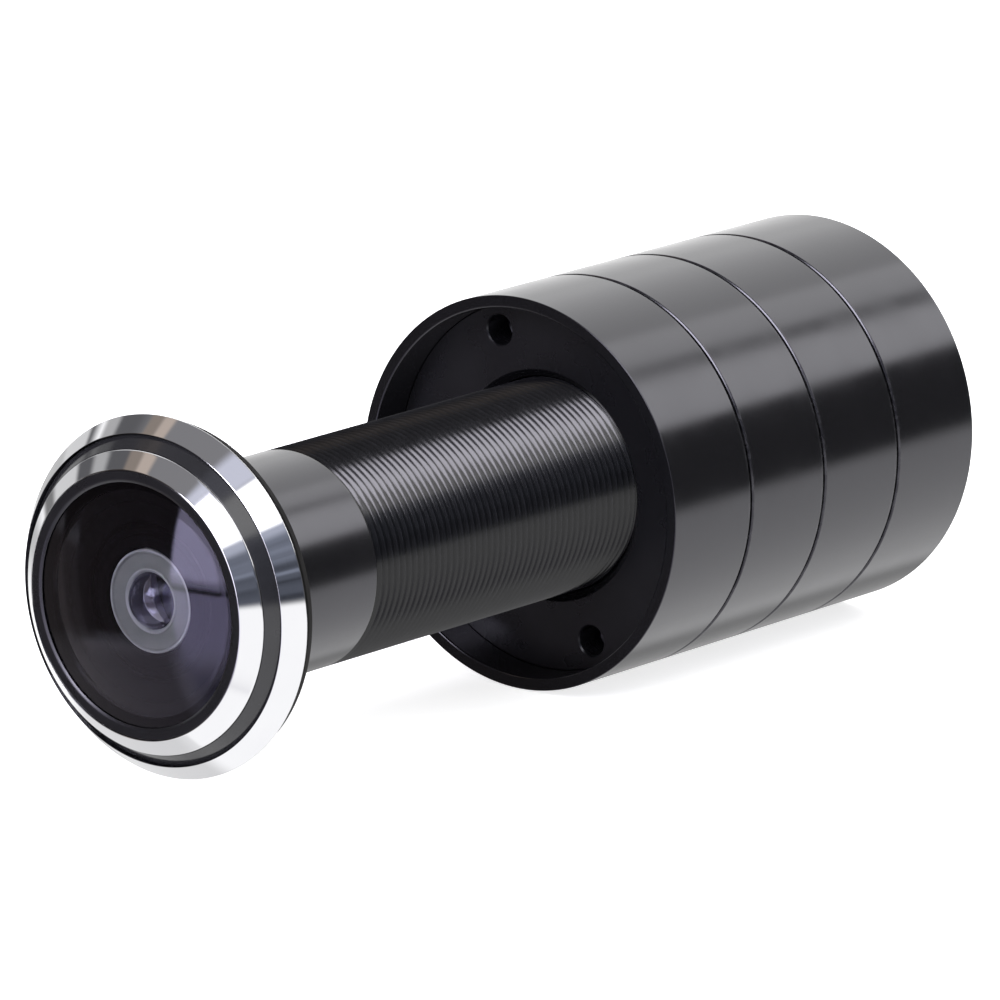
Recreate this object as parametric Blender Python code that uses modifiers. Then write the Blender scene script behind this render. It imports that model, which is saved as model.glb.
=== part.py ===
"""A wired door viewer camera that clamps through a door.

The axis lies along +Y: the polished bezel faces -Y (outdoors) and the housing sits at +Y (indoors).
The origin is on the axis, at the door's outer face. The housing turns on the barrel's thread,
while the board carrier inside it slides without turning, so that the sensor harness isn't twisted.
"""

import math

import bmesh
import bpy
from mathutils import Vector

MM = 0.001
GAP = 0.3

# Driving dimensions, in millimetres
BEZEL_R = 15.0
BEZEL_Y = -1.3
FLANGE_BACK_Y = -0.8
BAND_OUTER_R = 13.68
BAND_INNER_R = 12.54
CAP_BORE_R = 11.07
GLASS_R = 9.9
GLASS_SEAT_R = 10.5
GLASS_EDGE_Y = -4.79
GLASS_APEX_Y = -6.3
BARREL_R = 9.17
BARREL_BORE_R = 7.6
BARREL_FRONT_Y = -0.5
BARREL_REAR_Y = 56.0
CELL_R = 6.4
HOUSING_R = 16.9
HOUSING_FRONT_Y = 43.7
GROOVES_Y = (54.0, 64.0, 74.3)
HOUSING_REAR_Y = 84.9
GROOVE_WIDTH = 0.4
EDGE_BEVEL = 0.15
RECESS_R = 15.85
PLATE_FRONT_Y = 47.4
PLATE_REAR_Y = 52.0
PLATE_BORE_R = 9.4
SPANNER_HOLE_R = 1.3
SPANNER_HOLE_AT_R = 13.65
SPANNER_ANGLE = math.radians(21.4)
SPIGOT_R = 15.2
SPIGOT_LENGTH = 2.7
RING_BORE_R = 14.6
CARRIER_Y = 66.8
CARRIER_THICKNESS = 1.2
TUBE_R = 7.3
TUBE_BORE_R = 6.6
TUBE_FRONT_Y = 40.0
KEY_WIDTH = 1.6
MAIN_BOARD_Y = 71.0
MAIN_BOARD_R = 13.6
CAP_Y = 82.3
CAP_REAR_Y = 84.6
CAP_SCREW_AT_R = 13.0

LARGE_STEPS = 48
MEDIUM_STEPS = 36
SMALL_STEPS = 24

CHROME = ("polished_chrome", (0.80, 0.80, 0.82), 0.05, 1.0)
BLACK_METAL = ("black_anodised", (0.020, 0.020, 0.022), 0.35, 0.8)
BAND_BLACK = ("band_black", (0.030, 0.030, 0.033), 0.45, 0.0)
GLASS = ("lens_glass", (0.75, 0.78, 0.85), 0.02, 0.0)
INFRARED_GLASS = ("infrared_glass", (0.45, 0.70, 0.75), 0.02, 0.0)
RUBBER = ("black_rubber", (0.018, 0.018, 0.018), 0.80, 0.0)
BLACK_PLASTIC = ("black_plastic", (0.015, 0.015, 0.016), 0.60, 0.0)
BOARD_GREEN = ("board_green", (0.01, 0.12, 0.05), 0.45, 0.0)
CHIP_BLACK = ("chip_black", (0.02, 0.02, 0.02), 0.55, 0.0)
BRASS = ("brass", (0.75, 0.55, 0.25), 0.30, 1.0)
STEEL = ("steel", (0.55, 0.55, 0.57), 0.35, 1.0)
SOCKET_WHITE = ("socket_white", (0.80, 0.78, 0.72), 0.50, 0.0)
CAPACITOR = ("capacitor_sleeve", (0.05, 0.06, 0.12), 0.35, 0.0)


def material(spec):
    """Principled material for (name, colour, roughness, metallic), made once."""
    name, colour, roughness, metallic = spec
    found = bpy.data.materials.get(name)
    if found:
        return found
    made = bpy.data.materials.new(name)
    made.use_nodes = True
    shader = made.node_tree.nodes["Principled BSDF"]
    shader.inputs["Base Color"].default_value = (*colour, 1.0)
    shader.inputs["Roughness"].default_value = roughness
    shader.inputs["Metallic"].default_value = metallic
    return made


def collection(name):
    made = bpy.data.collections.new(name)
    bpy.context.scene.collection.children.link(made)
    return made


def add_object(name, mesh, spec, parts):
    obj = bpy.data.objects.new(name, mesh)
    if spec:
        mesh.materials.append(material(spec))
    parts.objects.link(obj)
    return obj


def turned(name, profile, spec, parts, steps=LARGE_STEPS):
    """A piece turned about the Y axis.

    The profile is a list of (radius, y) in millimetres. It goes down the outer side from the rear
    to the front, then back along the inner side. A profile that starts and ends on the axis stays open.
    """
    mesh = bpy.data.meshes.new(name)
    points = [(radius * MM, 0.0, y * MM) for radius, y in profile]
    edges = [(i, i + 1) for i in range(len(points) - 1)]
    if profile[0][0] > 0:
        edges.append((len(points) - 1, 0))
    mesh.from_pydata(points, edges, [])
    obj = add_object(name, mesh, spec, parts)
    obj.rotation_euler = (-math.pi / 2, 0.0, 0.0)
    screw = obj.modifiers.new("turn", "SCREW")
    screw.steps = steps
    screw.render_steps = steps
    screw.use_merge_vertices = True
    screw.merge_threshold = 0.00001
    screw.use_smooth_shade = True
    return obj


def ring(name, inner_r, outer_r, front_y, rear_y, spec, parts, steps=LARGE_STEPS):
    profile = [(outer_r, rear_y), (outer_r, front_y), (inner_r, front_y), (inner_r, rear_y)]
    return turned(name, profile, spec, parts, steps)


def cylinder(name, x, z, radius, front_y, rear_y, spec, parts, sides=SMALL_STEPS):
    """A solid cylinder along Y whose axis passes through (x, z)."""
    mesh = bpy.data.meshes.new(name)
    shape = bmesh.new()
    bmesh.ops.create_cone(
        shape, cap_ends=True, segments=sides, radius1=radius * MM, radius2=radius * MM,
        depth=(rear_y - front_y) * MM,
    )
    shape.to_mesh(mesh)
    shape.free()
    obj = add_object(name, mesh, spec, parts)
    obj.location = (x * MM, (front_y + rear_y) / 2 * MM, z * MM)
    obj.rotation_euler = (-math.pi / 2, 0.0, 0.0)
    mesh.shade_smooth()
    mesh.set_sharp_from_angle(angle=math.radians(35))
    return obj


def block(name, centre, size, spec, parts, bevel=0.0):
    """A box by its centre and size in millimetres, with optional bevelled edges."""
    mesh = bpy.data.meshes.new(name)
    shape = bmesh.new()
    bmesh.ops.create_cube(shape, size=1.0)
    bmesh.ops.scale(shape, vec=Vector(size) * MM, verts=shape.verts)
    shape.to_mesh(mesh)
    shape.free()
    obj = add_object(name, mesh, spec, parts)
    obj.location = Vector(centre) * MM
    if bevel:
        rounding = obj.modifiers.new("bevel", "BEVEL")
        rounding.width = bevel * MM
        rounding.segments = 1
    return obj


def cut(obj, cutter):
    cutter.hide_render = True
    cutter.display_type = "WIRE"
    boolean = obj.modifiers.new("cut_" + cutter.name, "BOOLEAN")
    boolean.operation = "DIFFERENCE"
    boolean.solver = "EXACT"
    boolean.object = cutter


def join(obj, other):
    other.hide_render = True
    other.display_type = "WIRE"
    boolean = obj.modifiers.new("join_" + other.name, "BOOLEAN")
    boolean.operation = "UNION"
    boolean.solver = "EXACT"
    boolean.object = other


def dome(edge_r, edge_y, apex_y, count):
    """Points of a spherical arc from its edge to the axis, both ends included."""
    sag = abs(edge_y - apex_y)
    sphere_r = (edge_r**2 + sag**2) / (2 * sag)
    side = 1 if apex_y > edge_y else -1
    full = math.asin(edge_r / sphere_r)
    points = []
    for i in range(count + 1):
        angle = full * (1 - i / count)
        y = apex_y - side * sphere_r * (1 - math.cos(angle))
        points.append((sphere_r * math.sin(angle) if i < count else 0.0, y))
    return points


def make_bezel(parts):
    floor_y = -1.6
    flange = [
        (BEZEL_R, FLANGE_BACK_Y), (BEZEL_R, BEZEL_Y), (BAND_OUTER_R, -2.9), (BAND_OUTER_R, floor_y),
        (CELL_R + GAP, floor_y), (CELL_R + GAP, FLANGE_BACK_Y),
    ]
    turned("bezel_flange", flange, CHROME, parts)
    ring("threaded_nipple", CELL_R + GAP, TUBE_R, BARREL_FRONT_Y, 4.2, STEEL, parts, MEDIUM_STEPS)
    ring("accent_band", BAND_INNER_R + GAP, BAND_OUTER_R - GAP, -2.75, floor_y - GAP, BAND_BLACK, parts)
    cap = [
        (BAND_INNER_R, floor_y - GAP), (BAND_INNER_R, -3.8), (CAP_BORE_R, -5.04),
        (CAP_BORE_R, -2.3), (8.6, -2.3), (8.6, floor_y - GAP),
    ]
    turned("bezel_cap", cap, CHROME, parts)
    retaining = [(CAP_BORE_R - GAP, -4.4), (CAP_BORE_R - GAP, -4.95), (10.35, -4.95), (GLASS_R + GAP, -4.8),
                 (GLASS_R + GAP, -4.4)]
    turned("lens_retaining_ring", retaining, BLACK_METAL, parts)
    ring("door_gasket", BARREL_R + GAP, 14.3, FLANGE_BACK_Y + GAP, 0.0, RUBBER, parts)


def make_front_optics(parts):
    # The outline runs from the rear surface's middle, round the rim, to the front surface's middle.
    outline = list(reversed(dome(GLASS_SEAT_R - 1.3, -3.5, -5.0, 5)))
    outline += [(GLASS_SEAT_R, -3.5), (GLASS_SEAT_R, -4.1), (GLASS_R, -4.1)]
    outline += dome(GLASS_R, GLASS_EDGE_Y, GLASS_APEX_Y, 6)
    turned("front_lens", outline, GLASS, parts, MEDIUM_STEPS)
    ring("lens_seal", 9.4, 10.6, -3.2, -2.6, RUBBER, parts, MEDIUM_STEPS)
    baffle = [(9.1, -2.6), (9.1, -3.1), (6.75, -2.65), (6.75, -2.1)]
    turned("front_baffle", baffle, BLACK_PLASTIC, parts, MEDIUM_STEPS)


def make_lens_unit(parts):
    cell = [
        (CELL_R, 9.0), (CELL_R, -2.0), (5.9, -2.5), (4.56, -2.5), (4.56, 4.6), (3.3, 4.6),
        (3.3, 5.6), (5.2, 5.6), (5.2, 9.0),
    ]
    turned("lens_cell", cell, BLACK_METAL, parts, MEDIUM_STEPS)
    second = list(reversed(dome(2.6, -0.6, -1.6, 3))) + [(4.26, -0.6), (4.26, -2.9)]
    second += dome(2.85, -2.9, -3.9, 4)
    turned("second_lens", second, GLASS, parts, SMALL_STEPS)
    ring("front_spacer", 3.1, 4.26, -0.3, 1.3, BLACK_METAL, parts, SMALL_STEPS)
    third = list(reversed(dome(2.5, 2.8, 3.5, 3))) + [(4.26, 2.8), (4.26, 1.6)] + dome(2.8, 1.6, 0.9, 3)
    turned("third_lens", third, GLASS, parts, SMALL_STEPS)
    ring("rear_spacer", 2.8, 4.26, 3.1, 4.3, BLACK_METAL, parts, SMALL_STEPS)
    cylinder("infrared_filter", 0, 0, 4.5, 5.9, 6.5, INFRARED_GLASS, parts)


def make_sensor(parts):
    block("image_sensor", (0, 8.1, 0), (6.0, 1.8, 5.0), CHIP_BLACK, parts)
    cylinder("sensor_board", 0, 0, 6.2, 9.3, 10.3, BOARD_GREEN, parts)
    ring("sensor_retaining_ring", 5.0, TUBE_R, 10.6, 12.4, BLACK_METAL, parts, MEDIUM_STEPS)
    block("sensor_socket", (0, 11.6, 0), (5.0, 2.0, 2.4), SOCKET_WHITE, parts)


def make_barrel(parts, helpers):
    end = 0.5
    outline = [
        (BARREL_R - end, BARREL_REAR_Y), (BARREL_R, BARREL_REAR_Y - end), (BARREL_R, BARREL_FRONT_Y),
        (BARREL_BORE_R, BARREL_FRONT_Y), (BARREL_BORE_R, BARREL_REAR_Y),
    ]
    barrel = turned("barrel", outline, BLACK_METAL, parts)
    keyway = block("keyway", (0, 48, -7.4), (KEY_WIDTH + 2 * GAP, 30, 2.0), None, helpers)
    cut(barrel, keyway)


def make_harness(parts):
    """A round lead along the middle of the barrel, with a little slack in it."""
    front, rear, slack, count = 13.0, 58.0, 2.2, 22
    curve = bpy.data.curves.new("sensor_harness", "CURVE")
    curve.dimensions = "3D"
    curve.bevel_depth = 0.9 * MM
    curve.bevel_resolution = 2
    curve.use_fill_caps = True
    line = curve.splines.new("POLY")
    line.points.add(count - 1)
    for i, point in enumerate(line.points):
        share = i / (count - 1)
        sway = slack * math.sin(math.pi * share) ** 2 * math.sin(3 * math.pi * share)
        point.co = (sway * MM, (front + (rear - front) * share) * MM, 0.6 * sway * MM, 1.0)
    curve.materials.append(material(BLACK_PLASTIC))
    parts.objects.link(bpy.data.objects.new("sensor_harness", curve))


def make_front_plate(parts, helpers):
    outer_r = RECESS_R - GAP
    outline = [
        (outer_r, PLATE_REAR_Y), (outer_r, PLATE_FRONT_Y), (9.95, PLATE_FRONT_Y),
        (PLATE_BORE_R, PLATE_FRONT_Y + 0.6), (PLATE_BORE_R, PLATE_REAR_Y),
    ]
    plate = turned("front_plate", outline, BLACK_METAL, parts)
    for i in range(2):
        angle = SPANNER_ANGLE + i * math.pi
        x = -SPANNER_HOLE_AT_R * math.sin(angle)
        z = SPANNER_HOLE_AT_R * math.cos(angle)
        hole = cylinder("spanner_hole_%d" % (i + 1), x, z, SPANNER_HOLE_R, 46.0, 50.4, None, helpers, 16)
        cut(plate, hole)


def housing_outline(front_y, rear_y):
    """The outer side of a housing ring, with its two bevelled edges, from rear to front."""
    inner = HOUSING_R - EDGE_BEVEL
    rear = [(inner, rear_y), (HOUSING_R, rear_y - EDGE_BEVEL)]
    front = [(HOUSING_R, front_y + EDGE_BEVEL), (inner, front_y)]
    return rear + front


def make_housing(parts, helpers):
    half = GROOVE_WIDTH / 2
    first_rear = GROOVES_Y[0] - half
    front = housing_outline(HOUSING_FRONT_Y, first_rear) + [
        (RECESS_R, HOUSING_FRONT_Y), (RECESS_R, PLATE_REAR_Y + GAP), (RING_BORE_R, PLATE_REAR_Y + GAP),
        (RING_BORE_R, first_rear + SPIGOT_LENGTH), (SPIGOT_R, first_rear + SPIGOT_LENGTH),
        (SPIGOT_R, first_rear),
    ]
    turned("housing_ring_1", front, BLACK_METAL, parts)
    shoulder_y = (GROOVES_Y[0] + half + SPIGOT_LENGTH + GAP, CARRIER_Y + CARRIER_THICKNESS + GAP)
    for i in range(2):
        start = GROOVES_Y[i] + half
        end = GROOVES_Y[i + 1] - half
        profile = housing_outline(start, end) + [
            (SPIGOT_R + GAP, start), (SPIGOT_R + GAP, shoulder_y[i]), (RING_BORE_R, shoulder_y[i]),
            (RING_BORE_R, end + SPIGOT_LENGTH), (SPIGOT_R, end + SPIGOT_LENGTH), (SPIGOT_R, end),
        ]
        turned("housing_ring_%d" % (i + 2), profile, BLACK_METAL, parts)
    start = GROOVES_Y[2] + half
    cap_seat_y = CAP_Y - GAP
    rear = housing_outline(start, HOUSING_REAR_Y) + [
        (SPIGOT_R + GAP, start), (SPIGOT_R + GAP, start + SPIGOT_LENGTH + GAP),
        (RING_BORE_R, start + SPIGOT_LENGTH + GAP), (RING_BORE_R, 78.8), (11.2, 78.8), (11.2, cap_seat_y),
        (SPIGOT_R + GAP, cap_seat_y), (SPIGOT_R + GAP, HOUSING_REAR_Y),
    ]
    shell = turned("housing_ring_4", rear, BLACK_METAL, parts)
    for i, (x, z) in enumerate(cap_screw_places()):
        cut(shell, cylinder("tapped_hole_%d" % (i + 1), x, z, 1.1, 80.0, 83.0, None, helpers, 12))


def cap_screw_places():
    places = []
    for i in range(3):
        angle = math.radians(90 + 120 * i)
        places.append((CAP_SCREW_AT_R * math.cos(angle), CAP_SCREW_AT_R * math.sin(angle)))
    return places


def make_rear_cap(parts, helpers):
    outline = [
        (SPIGOT_R - 0.3, CAP_REAR_Y), (SPIGOT_R, CAP_REAR_Y - 0.3), (SPIGOT_R, CAP_Y), (3.3, CAP_Y),
        (3.3, CAP_REAR_Y),
    ]
    cap = turned("rear_cap", outline, BLACK_METAL, parts)
    for i, (x, z) in enumerate(cap_screw_places()):
        cut(cap, cylinder("screw_way_%d" % (i + 1), x, z, 1.1, 81.0, 86.0, None, helpers, 12))
        cut(cap, cylinder("head_seat_%d" % (i + 1), x, z, 1.9, 83.4, 86.0, None, helpers, 16))
        make_screw("cap_screw_%d" % (i + 1), x, z, 80.4, 83.7, 84.5, 1.6, 0.8, parts, helpers)
    grommet = [
        (4.2, 86.1), (4.6, 85.7), (4.6, CAP_REAR_Y + GAP), (3.0, CAP_REAR_Y + GAP), (3.0, CAP_Y - GAP),
        (4.4, CAP_Y - GAP), (4.2, CAP_Y - 1.2), (1.7, CAP_Y - 1.2), (1.7, 86.1),
    ]
    turned("cable_grommet", grommet, RUBBER, parts, SMALL_STEPS)


def make_screw(name, x, z, tip_y, under_head_y, head_y, head_r, shank_r, parts, helpers):
    """A pan-head screw along Y with a hexagonal socket in its head."""
    profile = [
        (0.0, head_y), (head_r * 0.8, head_y), (head_r, head_y - 0.25), (head_r, under_head_y),
        (shank_r, under_head_y), (shank_r, tip_y), (0.0, tip_y),
    ]
    screw = turned(name, profile, STEEL, parts, 16)
    screw.location = (x * MM, 0.0, z * MM)
    depth = 0.5 * (head_y - under_head_y)
    socket = cylinder(name + "_socket", x, z, head_r * 0.5, head_y - depth, head_y + 1, None, helpers, 6)
    cut(screw, socket)


def make_carrier(parts, helpers):
    rear_y = CARRIER_Y + CARRIER_THICKNESS
    outline = [
        (SPIGOT_R, rear_y), (SPIGOT_R, CARRIER_Y), (TUBE_R, CARRIER_Y), (TUBE_R, TUBE_FRONT_Y),
        (TUBE_BORE_R, TUBE_FRONT_Y), (TUBE_BORE_R, rear_y),
    ]
    carrier = turned("board_carrier", outline, BLACK_PLASTIC, parts)
    key = block("key", (0, 49.0, -7.5), (KEY_WIDTH, 8.0, 1.0), None, helpers)
    join(carrier, key)
    for i, (x, z) in enumerate(standoff_places()):
        cut(carrier, cylinder("carrier_hole_%d" % (i + 1), x, z, 0.9, 66.0, 69.0, None, helpers, 12))


def standoff_places():
    places = []
    for i in range(3):
        angle = math.radians(30 + 120 * i)
        places.append((11.0 * math.cos(angle), 11.0 * math.sin(angle)))
    return places


def make_boards(parts, helpers):
    rear_y = MAIN_BOARD_Y + 1.2
    top = rear_y + GAP
    board = cylinder("main_board", 0, 0, MAIN_BOARD_R, MAIN_BOARD_Y, rear_y, BOARD_GREEN, parts, 36)
    for i, (x, z) in enumerate(standoff_places()):
        number = i + 1
        cut(board, cylinder("board_hole_%d" % number, x, z, 0.9, 70.0, 73.0, None, helpers, 12))
        standoff = ring("standoff_%d" % number, 1.1, 1.8, 68.3, MAIN_BOARD_Y - GAP, BRASS, parts, 12)
        standoff.location = (x * MM, 0.0, z * MM)
        make_screw("board_screw_%d" % number, x, z, 67.2, top, top + 0.9, 1.3, 0.6, parts, helpers)
    block("image_processor", (-3.0, top + 0.5, 4.0), (7.0, 1.0, 7.0), CHIP_BLACK, parts)
    block("power_inductor", (5.6, top + 1.4, 3.2), (4.0, 2.8, 4.0), CHIP_BLACK, parts, 0.5)
    cylinder("filter_capacitor", -6.5, -4.5, 2.0, top, top + 4.5, CAPACITOR, parts)
    block("output_connector", (2.8, top + 2.0, -5.2), (7.5, 4.0, 3.0), SOCKET_WHITE, parts, 0.3)
    block("board_socket", (0, MAIN_BOARD_Y - GAP - 1.0, 0), (5.0, 2.0, 2.4), SOCKET_WHITE, parts)


def main():
    for obj in list(bpy.data.objects):
        bpy.data.objects.remove(obj)
    parts = collection("door_viewer")
    helpers = collection("cutters")
    make_bezel(parts)
    make_front_optics(parts)
    make_lens_unit(parts)
    make_sensor(parts)
    make_barrel(parts, helpers)
    make_harness(parts)
    make_front_plate(parts, helpers)
    make_housing(parts, helpers)
    make_rear_cap(parts, helpers)
    make_carrier(parts, helpers)
    make_boards(parts, helpers)


main()
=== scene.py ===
import math
from types import SimpleNamespace

import bmesh
import bpy
from mathutils import Matrix, Vector


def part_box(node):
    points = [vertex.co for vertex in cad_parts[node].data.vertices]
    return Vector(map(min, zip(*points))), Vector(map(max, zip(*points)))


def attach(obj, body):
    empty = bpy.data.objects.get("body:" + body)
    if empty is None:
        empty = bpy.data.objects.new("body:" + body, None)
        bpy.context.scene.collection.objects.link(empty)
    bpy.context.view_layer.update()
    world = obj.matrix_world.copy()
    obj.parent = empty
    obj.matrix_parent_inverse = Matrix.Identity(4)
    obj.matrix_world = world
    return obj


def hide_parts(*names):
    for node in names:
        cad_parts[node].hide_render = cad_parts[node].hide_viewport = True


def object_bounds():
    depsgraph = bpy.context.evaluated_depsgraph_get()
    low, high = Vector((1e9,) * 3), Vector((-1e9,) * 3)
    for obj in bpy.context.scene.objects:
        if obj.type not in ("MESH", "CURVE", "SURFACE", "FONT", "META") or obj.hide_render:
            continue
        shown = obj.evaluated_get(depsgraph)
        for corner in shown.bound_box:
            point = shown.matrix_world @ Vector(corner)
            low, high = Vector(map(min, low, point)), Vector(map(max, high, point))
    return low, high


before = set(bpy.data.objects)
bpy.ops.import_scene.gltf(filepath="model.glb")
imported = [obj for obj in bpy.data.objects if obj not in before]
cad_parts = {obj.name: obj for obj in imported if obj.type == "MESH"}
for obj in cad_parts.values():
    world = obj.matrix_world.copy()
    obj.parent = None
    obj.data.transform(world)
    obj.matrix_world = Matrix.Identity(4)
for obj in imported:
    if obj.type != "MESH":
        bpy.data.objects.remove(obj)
cadLow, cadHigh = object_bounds()
mm = 0.001
weldDistance = 0.002 * mm
fit = 0.02  # the least gap between neighbouring faces, in millimetres
print("frame loaded with", len(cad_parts), "nodes")


# Radius, front and rear of a turned node on the axis, in millimetres
def span(node):
    low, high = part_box(node)
    return SimpleNamespace(radius=(high.x - low.x) / 2 / mm, front=low.y / mm, rear=high.y / mm)


def centreOf(node):
    low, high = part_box(node)
    return (low + high) / 2


# A profile whose corners (radius, y, rounding) become small arcs, each held by a guard point on both sides
def softCorners(corners, defaultRadius=0.0, steps=4, guard=0.03):
    made = []
    count = len(corners)
    for i, corner in enumerate(corners):
        here = Vector(corner[:2])
        rounding = corner[2] if len(corner) > 2 else defaultRadius
        if rounding <= 0:
            made.append(tuple(here))
            continue
        before = Vector(corners[i - 1][:2]) - here
        after = Vector(corners[(i + 1) % count][:2]) - here
        cut = min(rounding, before.length * 0.45, after.length * 0.45)
        start = here + before.normalized() * cut
        end = here + after.normalized() * cut
        keep = min(guard, cut * 0.5)
        made.append(tuple(start + before.normalized() * keep))
        for k in range(steps + 1):
            t = k / steps
            made.append(tuple(start * (1 - t) ** 2 + here * 2 * t * (1 - t) + end * t ** 2))
        made.append(tuple(end + after.normalized() * keep))
    return made


# Points of a spherical cap from its edge to its middle on the axis
def domePoints(edgeRadius, edgeY, apexY, count):
    sag = abs(edgeY - apexY)
    sphere = (edgeRadius ** 2 + sag ** 2) / (2 * sag)
    side = 1 if apexY > edgeY else -1
    full = math.asin(min(1.0, edgeRadius / sphere))
    made = []
    for i in range(count + 1):
        angle = full * (1 - i / count)
        made.append((sphere * math.sin(angle), apexY - side * sphere * (1 - math.cos(angle))))
    made[-1] = (0.0, apexY)
    return made


# A mesh turned about an axis along Y through centre (x, z) in millimetres
def lathe(name, profile, segments=192, closed=True, centre=(0.0, 0.0), sharpAngle=None):
    shape = bmesh.new()
    rings = []
    for radius, y in profile:
        if radius < 1e-6:
            rings.append([shape.verts.new((centre[0] * mm, y * mm, centre[1] * mm))])
            continue
        row = []
        for k in range(segments):
            angle = 2 * math.pi * k / segments
            x = centre[0] + radius * math.cos(angle)
            z = centre[1] + radius * math.sin(angle)
            row.append(shape.verts.new((x * mm, y * mm, z * mm)))
        rings.append(row)
    pairs = list(zip(rings, rings[1:]))
    if closed and len(rings[0]) > 1:
        pairs.append((rings[-1], rings[0]))
    for one, two in pairs:
        for k in range(segments):
            n = (k + 1) % segments
            corners = [one[k % len(one)], one[n % len(one)], two[n % len(two)], two[k % len(two)]]
            unique = list(dict.fromkeys(corners))
            if len(unique) > 2:
                shape.faces.new(unique)
    bmesh.ops.recalc_face_normals(shape, faces=shape.faces)
    return meshObject(name, shape, sharpAngle)


def meshObject(name, shape, sharpAngle=None):
    mesh = bpy.data.meshes.new(name)
    shape.to_mesh(mesh)
    shape.free()
    made = bpy.data.objects.new(name, mesh)
    bpy.context.scene.collection.objects.link(made)
    mesh.shade_smooth()
    mesh.set_sharp_from_angle(angle=math.radians(sharpAngle or 40))
    return made


# Boxes with rounded edges in one mesh, each by its centre and size in millimetres
def boxesMesh(name, boxes, rounding=0.0):
    shape = bmesh.new()
    for centre, size in boxes:
        made = bmesh.ops.create_cube(shape, size=1.0)["verts"]
        bmesh.ops.scale(shape, vec=Vector(size) * mm, verts=made)
        bmesh.ops.translate(shape, vec=Vector(centre) * mm, verts=made)
    if rounding:
        bmesh.ops.bevel(
            shape, geom=shape.edges[:], offset=rounding * mm, segments=2, profile=0.5, affect="EDGES"
        )
    return meshObject(name, shape)


# The evaluated piece as a plain mesh object of the same name, with nothing live left on it
def plain(piece):
    graph = bpy.context.evaluated_depsgraph_get()
    mesh = bpy.data.meshes.new_from_object(piece.evaluated_get(graph))
    name = piece.name
    bpy.data.objects.remove(piece)
    made = bpy.data.objects.new(name, mesh)
    bpy.context.scene.collection.objects.link(made)
    return made


def drill(piece, cutters):
    for cutter in cutters:
        boolean = piece.modifiers.new("drill", "BOOLEAN")
        boolean.operation = "DIFFERENCE"
        boolean.solver = "EXACT"
        boolean.object = cutter
    bpy.context.view_layer.update()
    made = plain(piece)
    for cutter in cutters:
        bpy.data.objects.remove(cutter)
    made.data.set_sharp_from_angle(angle=math.radians(30))
    return made


def finishPiece(piece, look, body, nodes):
    piece.data.materials.clear()
    piece.data.materials.append(finish[look])
    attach(piece, body)
    if nodes:
        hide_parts(*nodes)
    return piece


# A piece turned from corners (radius, y, rounding) that takes the place of one CAD node
def turnedPiece(name, corners, segments, look, body, node, centre=(0.0, 0.0)):
    piece = lathe(name, softCorners(corners), segments, True, centre)
    return finishPiece(piece, look, body, [node])


# A few short words for wiring nodes
class Tree:
    def __init__(self, tree):
        self.tree = tree

    def add(self, kind, **settings):
        made = self.tree.nodes.new(kind)
        for key, value in settings.items():
            setattr(made, key, value)
        return made

    def wire(self, source, target):
        self.tree.links.new(source, target)

    def put(self, socket, value):
        if isinstance(value, bpy.types.NodeSocket):
            self.wire(value, socket)
        else:
            socket.default_value = value

    # A node whose sockets take values or other nodes' outputs. Gives one of its own outputs
    def node(self, kind, sockets, output=0, **settings):
        made = self.add(kind, **settings)
        for key, value in sockets.items():
            self.put(made.inputs[key], value)
        return made.outputs[output]

    def math(self, operation, a, b=0.0, c=0.0, clamp=False):
        return self.node("ShaderNodeMath", {0: a, 1: b, 2: c}, operation=operation, use_clamp=clamp)

    def remap(self, value, fromLow, fromHigh, toLow=0.0, toHigh=1.0, smooth=False):
        sockets = dict(enumerate((value, fromLow, fromHigh, toLow, toHigh)))
        way = "SMOOTHSTEP" if smooth else "LINEAR"
        return self.node("ShaderNodeMapRange", sockets, interpolation_type=way)

    def objectPoint(self, scale=(1, 1, 1)):
        coords = self.add("ShaderNodeTexCoord").outputs["Object"]
        return self.node("ShaderNodeMapping", {"Vector": coords, "Scale": scale})

    def axes(self, point):
        split = self.add("ShaderNodeSeparateXYZ")
        self.wire(point, split.inputs[0])
        return split.outputs

    def radiusAboutAxis(self, point):
        axes = self.axes(point)
        squares = [self.math("POWER", axes[i], 2.0) for i in (0, 2)]
        return self.math("SQRT", self.math("ADD", *squares))

    def noise(self, point, scale, detail=3.0, roughness=0.5):
        sockets = {"Vector": point, "Scale": scale, "Detail": detail, "Roughness": roughness}
        return self.node("ShaderNodeTexNoise", sockets)

    def blendColour(self, share, a, b):
        return self.node("ShaderNodeMix", {0: share, 6: a, 7: b}, 2, data_type="RGBA")

    def bump(self, height, strength, distance):
        return self.node("ShaderNodeBump", {"Height": height, "Strength": strength, "Distance": distance})


# A new material, the short words for its nodes, and a way to put a value or an output on its shader
def newMaterial(name):
    made = bpy.data.materials.new(name)
    made.use_nodes = True
    t, sockets = Tree(made.node_tree), made.node_tree.nodes["Principled BSDF"].inputs
    return made, t, lambda name, value: t.put(sockets[name], value)


def rgb(r, g, b):
    return (r, g, b, 1.0)


cloudRange = (0.3, 0.7)  # how much of a noise carries a finish from one end of its roughness to the other

chromeFinish = {
    "colours": (rgb(0.66, 0.66, 0.675), rgb(0.62, 0.62, 0.64)), "roughness": (0.035, 0.075),
    "haze": (160.0, 4.0), "hazeRange": (0.35, 0.7), "hairlines": (60, 6000, 60), "bump": (0.02, 0.00002),
}


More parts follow.
